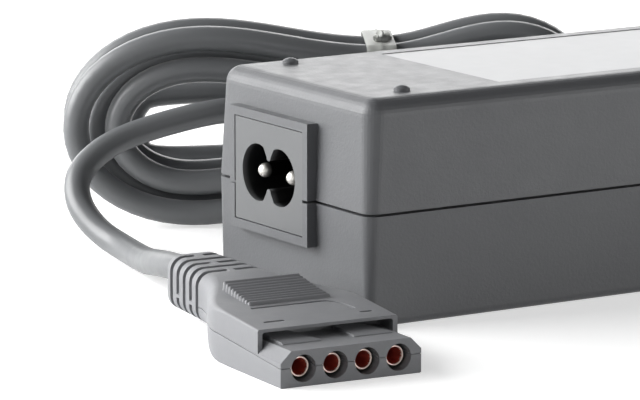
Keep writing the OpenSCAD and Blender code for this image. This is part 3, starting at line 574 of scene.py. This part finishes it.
def nose_outline(y):
    """The nose's section, with its upper edges cut off at a slant."""
    low = seam_z(y) + SEAM_GAP
    cut_z = max(NOSE_H - NOSE_CUT, low + 0.02)
    right = [(PLUG_HALF_W, low), (PLUG_HALF_W, cut_z), (PLUG_HALF_W - NOSE_CUT, NOSE_H)]
    return right + [(-x, z) for x, z in reversed(right)]


rings = [at(y, nose_outline(y)) for y in (0, LIP_Y + SLOT_Y - 0.02)]
nose = skin("plug_nose", rings, plug_pvc)

# %% The four contact holes and the sleeves in them
CONTACT_GAP, CONTACT_Z, HOLE_R = 5.4, 2.8, 2.1
SLEEVE_R, BORE_R, RECESS, SLEEVE_L, BORE_L = 1.6, 1.3, 1.4, 11, 9


def circle(x, y, z, r, count=48):
    """A ring of points round an axis that runs along the plug."""
    turns = [2 * math.pi * k / count for k in range(count)]
    return [(x + r * math.cos(t), y, z + r * math.sin(t)) for t in turns]


contact_x = [i * CONTACT_GAP for i in (-1.5, -0.5, 0.5, 1.5)]
for x in contact_x:
    for half in (base, nose):
        cut(half, skin("hole_tool", [circle(x, y, CONTACT_Z, HOLE_R) for y in (-1, RECESS + SLEEVE_L)]))
for half in (hood, base, nose):
    dress(half, plug_pvc)
    soften(half, 0.12)

SLEEVE_RINGS = ((SLEEVE_R - 0.12, RECESS + SLEEVE_L), (SLEEVE_R, RECESS + SLEEVE_L - 0.12),
                (SLEEVE_R, RECESS + 0.1), (SLEEVE_R - 0.1, RECESS), (BORE_R + 0.08, RECESS),
                (BORE_R, RECESS + 0.1), (BORE_R, RECESS + 0.5), (BORE_R, RECESS + BORE_L))
for number, x in enumerate(contact_x, 1):
    rings = [circle(x, y, CONTACT_Z, r) for r, y in SLEEVE_RINGS]
    sleeve = skin(f"contact_sleeve_{number}", rings, gold)
    # The faces inside each bore take the red-brown finish, darkened as painted shade
    sleeve.data.materials.append(bore_red_painted_shade)
    for face in sleeve.data.polygons:
        local = PLUG_PLACE.inverted() @ (face.center / MM)
        in_bore = math.hypot(local.x - x, local.z - CONTACT_Z) < (BORE_R + SLEEVE_R) / 2
        if in_bore and RECESS + 0.3 < local.y < RECESS + SLEEVE_L - 0.01:
            face.material_index = 1

# %% Key pads and the ribbed grip
KEY_W, KEY_X, KEY_Y, KEY_H = 6.6, 6.1, 4.3, 0.6
# Along each pad: the place, the height above the nose, and how far the slanting right side reaches
KEY_RINGS = ((KEY_Y, 0.12, 0), (KEY_Y + 0.5, 0.3, -0.15), (LIP_Y + SLOT_Y - 0.1, KEY_H, -2.2))
for side, x in (("left", -KEY_X), ("right", KEY_X)):
    low, left = NOSE_H - 0.2, x - KEY_W / 2
    rings = []
    for y, rise, reach in KEY_RINGS:
        right = x + KEY_W / 2 + reach
        rings.append([(left, y, low), (right, y, low), (right, y, NOSE_H + rise), (left, y, NOSE_H + rise)])
    key = skin(f"key_pad_{side}", rings, plug_pvc)
    soften(key, 0.1)

GRIP_HALF_W, GRIP_Y, GRIP_L, GRIP_RIBS = 7.2, 19.6, 10, 10
GRIP_LOW, GRIP_RISE, RIB_H, RIB_SIDE, GRIP_LEAN = 0.5, 1.0, 0.38, 0.3, 0.45
rings = []
for y in stations(GRIP_Y, GRIP_Y + GRIP_L, GRIP_RIBS * 8):
    share = (y - GRIP_Y) / GRIP_L
    groove = 1 - (0.5 - 0.5 * math.cos(2 * math.pi * GRIP_RIBS * share)) ** 0.6
    height = GRIP_LOW + GRIP_RISE * share - RIB_H * groove
    half = GRIP_HALF_W - RIB_SIDE * groove
    outline = section(half, SEAM_BODY + 1, body_top(y) + height, 0.05, 0.22, 4)
    # The grip's sides lean in towards its top
    rings.append(at(y, [(x - math.copysign(GRIP_LEAN * max(0, z - body_top(y)), x), z) for x, z in outline]))
grip = skin("plug_grip", rings, plug_pvc, smooth_up_to=50)

# %% [markdown]
# ## The strain relief
# Five grooves run round the relief so that it bends. Each is interrupted: every second one by a bridge
# over the top and underneath, the others by a bridge at each side.

# %% Strain relief
RELIEF_L, GROOVES, GROOVE_W, GROOVE_DEPTH, WALL = 14, 5, 1.2, 1.35, 0.1
PITCH = RELIEF_L / GROOVES
END_HALF_W, RELIEF_MIDDLE, RELIEF_HALF_H, RELIEF_R = 4.7, 5.95, 4.05, 2.3
# How much higher the relief's middle and its half height are at its end than at the neck
END_RISE, END_SWELL = 0.15, 0.25
CORNER_STEPS, SIDE_SPOTS = 8, 14
TOP_BRIDGE, SIDE_BRIDGE, SIDE_BRIDGE_Z = 0.8, 0.35, 4.6


def relief_outline(y, inset):
    """The relief's section with many points, drawn in all round by inset."""
    share = (y - NECK_Y) / RELIEF_L
    half_w = NECK_HALF_W + (END_HALF_W - NECK_HALF_W) * share - inset
    middle, half_h = RELIEF_MIDDLE + END_RISE * share, RELIEF_HALF_H + END_SWELL * share - inset
    r = RELIEF_R - 0.6 * inset
    corners = section(half_w, middle - half_h, middle + half_h, r, r, CORNER_STEPS)
    outline = []
    for k, (x, z) in enumerate(corners):
        outline.append((x, z))
        nx, nz = corners[(k + 1) % len(corners)]
        if k % (CORNER_STEPS + 1) == CORNER_STEPS:
            shares = [j / SIDE_SPOTS for j in range(1, SIDE_SPOTS)]
            outline += [(x + (nx - x) * j, z + (nz - z) * j) for j in shares]
    return outline


def bridged(groove, x, z):
    """How far a groove is filled at a point of the outline, from 0 to 1."""
    if groove % 2 == 0:
        return 1 - ease((abs(x) - TOP_BRIDGE) / 0.3)
    return 1 - ease((abs(z - SIDE_BRIDGE_Z) - SIDE_BRIDGE) / 0.25)


rings = [at(NECK_Y - 0.02, relief_outline(NECK_Y, 0.35)), at(NECK_Y - 0.01, relief_outline(NECK_Y, 0.0))]
for groove in range(GROOVES):
    start_y = NECK_Y + PITCH * groove + 0.02
    stop_y = start_y + GROOVE_W
    for y, deep in ((start_y, 0), (start_y + WALL, 0.85), (start_y + 2 * WALL, 1),
                    (stop_y - 2 * WALL, 1), (stop_y - WALL, 0.85), (stop_y, 0)):
        outer, inner = relief_outline(y, 0), relief_outline(y, GROOVE_DEPTH)
        rings.append([(x + (ix - x) * deep * (1 - bridged(groove, x, z)), y,
                       z + (iz - z) * deep * (1 - bridged(groove, x, z)))
                      for (x, z), (ix, iz) in zip(outer, inner)])
end_y = NECK_Y + RELIEF_L
rings += [at(end_y - 0.5, relief_outline(end_y, 0)), at(end_y - 0.14, relief_outline(end_y, 0.12)),
          at(end_y, relief_outline(end_y, 0.5))]
relief = skin("strain_relief", rings, plug_pvc, smooth_up_to=40)

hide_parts("plug_upper_half")
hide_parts("plug_lower_half")
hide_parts("plug_strain_relief")
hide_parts("plug_contacts")
print("strain relief:", len(relief.data.polygons), "faces")

# %% [markdown]
# ## The twist tie
# The tie is a flat plastic strap with a wire down its middle. It goes once round the hank's waist, and
# its ends are twisted together on top.

# %% Twist tie
TIE_W, TIE_SKIN, TIE_SPACE = 5.2, 0.36, 0.3
WIRE_RIDGE, RIDGE_HALF_W, EDGE_THIN = 0.16, 0.45, 0.12
HANK_W = 3 * LAYER_STEP
HANK_PLACE = Matrix.Translation((HANK_X, HANK_Y, 0)) @ Matrix.Rotation(HANK_TURN, 4, "Z")
waist_top = HANK_Z + HANK_R - WAIST_DIP + CORD_R
waist_low = HANK_Z - HANK_R + 0.4 * TURN_STEP + WAIST_DIP - CORD_R


def strap(across_at):
    """The strap's thickness at a place across it: a ridge over the wire, and thin edges."""
    ridge = WIRE_RIDGE * math.exp(-(across_at / RIDGE_HALF_W) ** 2)
    edge = EDGE_THIN * ease((abs(across_at) - TIE_W / 2 + 0.5) / 0.5)
    return TIE_SKIN + ridge - edge


loop_r = CORD_R / 2 + TIE_SPACE
loop = section(HANK_W / 2 + CORD_R + TIE_SPACE, waist_low - TIE_SPACE, waist_top + TIE_SPACE,
               loop_r, loop_r, 8)
rings = []
for k, (x, z) in enumerate(loop):
    a, b = Vector(loop[k - 1]), Vector(loop[(k + 1) % len(loop)])
    way = (b - a).normalized()
    out = Vector((way.y, -way.x))
    ring = []
    for place_across in stations(-TIE_W / 2, TIE_W / 2, 12):
        t = strap(place_across)
        ring.append((WAIST_U + place_across, HANK_W / 2 + x + out.x * t, z + out.y * t))
    ring += [(WAIST_U + place_across, HANK_W / 2 + x, z) for place_across in (TIE_W / 2, -TIE_W / 2)]
    rings.append(ring)
tie = skin("twist_tie", rings, coated_tie, place=HANK_PLACE, closed=True, smooth_up_to=50)

# The two ends, twisted together and laid back over the top of the hank
TWIST_L, TWIST_W, TWIST_TURNS, TWIST_RISE = 4.6, 2.9, 0.75, 1.45
TWIST_ASIDE, TWIST_DROP, SWELL_SHARE = 1.6, 0.5, 0.35
END_SECTION = ((-1, -0.6), (-0.3, -1), (0.3, -1), (1, -0.6), (1, 0.6), (0.3, 1), (-0.3, 1), (-1, 0.6))
for number, phase in enumerate((0, math.pi / 2), 1):
    rings = []
    for share in stations(0, 1, 32):
        turn = phase + 2 * math.pi * TWIST_TURNS * share
        swell = ease(share / SWELL_SHARE)
        wide, thin = TWIST_W / 2 * (0.3 + 0.7 * swell) * (1 - 0.25 * share), 0.12 + 0.2 * swell
        middle_z = waist_top + TWIST_RISE - TWIST_DROP * share * share
        middle = Vector((WAIST_U - 0.5 + TWIST_ASIDE * share, 0.4 + TWIST_L * share, middle_z))
        side = Vector((math.cos(turn), 0, math.sin(turn)))
        up = Vector((-math.sin(turn), 0, math.cos(turn)))
        rings.append([middle + side * (a * wide) + up * (b * thin) for a, b in END_SECTION])
    skin(f"tie_end_{number}", rings, coated_tie, place=HANK_PLACE, smooth_up_to=60)
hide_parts("cord_tie")
print("twist tie:", len(tie.data.polygons), "faces")

# %% [markdown]
# ## Edges of the exact parts
# The exact model has true sharp edges. Real moulded edges are broken, so the inlet and the pips get a
# fine bevel as a modifier, which leaves their meshes as they are.

# %% Broken edges
for name, width in (("inlet_body", 0.22), ("corner_feet", 0.45)):
    soften(nodes[name], width, 50, 3)
    print(f"{name}: edges broken by {width} mm")

# %% [markdown]
# ## The table and the light
# The table is a plain pale sweep. The camera, and what the plastic and metal mirror, see it lifted towards
# white, while the light that it throws onto the object is that of its own colour. A large soft light behind
# on the left draws the case's end and the cord, and a small one on the left rounds the cord. A broad one
# behind gives the top its sheen, and one low on the right draws the long side and its grain.

# %% Table
bm = bmesh.new()
bmesh.ops.create_grid(bm, x_segments=24, y_segments=24, size=4)
table_mesh = bpy.data.meshes.new("table")
bm.to_mesh(table_mesh)
bm.free()
table = bpy.data.objects.new("table", table_mesh)
bpy.context.scene.collection.objects.link(table)
table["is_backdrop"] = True
TABLE_LIFT = 0.57
pale, tree, shader, place = start("pale_sweep", Roughness=0.9)
shader.inputs["Base Color"].default_value = linear("#dcdcdc")
shader.inputs["Emission Color"].default_value = (1, 1, 1, 1)
rays = add(tree, "LightPath")
mirrored = add(tree, "Math", {0: rays.outputs["Is Glossy Ray"], 1: rays.outputs["Is Transmission Ray"]},
               operation="MAXIMUM")
seen = add(tree, "Math", {0: rays.outputs["Is Camera Ray"], 1: mirrored.outputs[0]}, operation="MAXIMUM")
lift = add(tree, "Math", {0: seen.outputs[0], 1: TABLE_LIFT}, operation="MULTIPLY")
tree.links.new(lift.outputs[0], shader.inputs["Emission Strength"])
table_mesh.materials.append(pale)
print(f"table: {table.dimensions.x:.0f} m wide")

# %% Lights
AIM = Vector((0, 0, 0.02))
# Each light's place, the width and height of its face, and the brightness of its face
LIGHTS = {
    "key_softbox": ((-1.0, 0.75, 0.6), 1.3, 1.0, 9),
    "left_softbox": ((-1.2, -0.35, 0.85), 0.9, 0.6, 1.5),
    "back_softbox": ((0.7, 1.3, 0.45), 1.6, 0.8, 2.9),
    "front_fill": ((1.3, -1.2, 0.14), 1.0, 0.4, 7),
}


def softbox(name, place, width, height, radiance):
    """A rectangular soft light, with its power worked out from the brightness of its face."""
    data = bpy.data.lights.new(name, "AREA")
    data.shape = "RECTANGLE"
    data.size, data.size_y = width, height
    data.energy = radiance * math.pi * width * height
    lamp = bpy.data.objects.new(name, data)
    bpy.context.scene.collection.objects.link(lamp)
    lamp.location = place
    lamp.rotation_euler = (AIM - Vector(place)).to_track_quat("-Z", "Y").to_euler()
    lamp.visible_camera = False
    print(f"{name}: {data.energy:.0f} W")


for name, settings in LIGHTS.items():
    softbox(name, *settings)

# %% [markdown]
# ## The room
# The room is white down at the walls and dark overhead. What is mirrored in the plastic and the metal, and
# the camera, see it at full strength, and a small share of it lights the object softly from all sides.

# %% World
WALL_TOP, DARK_FROM = 0.15, 0.6
OVERHEAD, SOFT_SHARE = 0.08, 0.08
world = bpy.data.worlds.new("studio")
bpy.context.scene.world = world
world.use_nodes = True
tree = world.node_tree
background = tree.nodes["Background"]
rays = add(tree, "LightPath")
sky = add(tree, "SeparateXYZ", {"Vector": add(tree, "TexCoord").outputs["Generated"]})
height = add(tree, "MapRange", {"Value": sky.outputs["Z"], "From Min": WALL_TOP, "From Max": DARK_FROM,
                                "To Min": 1.0, "To Max": OVERHEAD})
soft = add(tree, "MapRange", {"Value": rays.outputs["Is Diffuse Ray"], "To Min": 1.0, "To Max": SOFT_SHARE})
level = add(tree, "Math", {0: height.outputs["Result"], 1: soft.outputs["Result"]}, operation="MULTIPLY")
tree.links.new(level.outputs[0], background.inputs["Strength"])
background.inputs["Color"].default_value = (1, 1, 1, 1)
print(f"the room is white in reflections, and lights the object at {SOFT_SHARE:.0%} of that")

# %% [markdown]
# ## The visual box
# The bounds of everything that is shown are worked out and printed, in millimetres.

bpy.context.view_layer.update()
low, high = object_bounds()
print("visual box", [round(v / MM, 1) for v in (*low, *high)])
